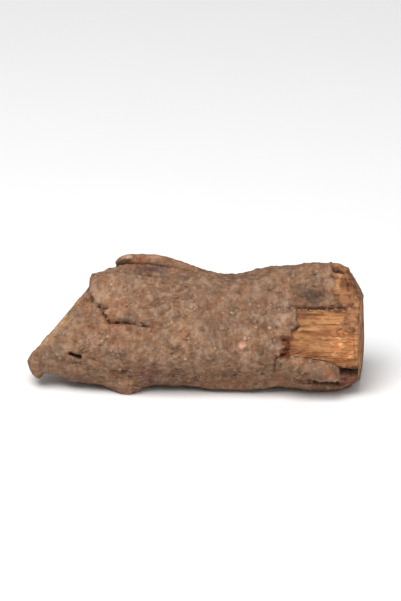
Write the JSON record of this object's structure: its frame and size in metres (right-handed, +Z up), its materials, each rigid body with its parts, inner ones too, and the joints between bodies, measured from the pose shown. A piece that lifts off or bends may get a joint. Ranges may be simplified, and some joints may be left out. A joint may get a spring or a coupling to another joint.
{
  "type": "bramble root",
  "caption": "Cut length of bramble root in rough brown bark, one end sawn square and the other chopped at a slant, with a torn patch of bare wood.",
  "frame": {"origin": "on the ground under the middle of the root's bounding box", "axes": "+X along the root towards the sawn end, -Y out of the broad side with the bare patch, +Z up"},
  "size_m": [0.1018, 0.0364, 0.0387],
  "materials": {
    "bark": "matt, rough grey-brown bark"
  },
  "bodies": {
    "root": {"root": "bark"}
  },
  "joints": []
}
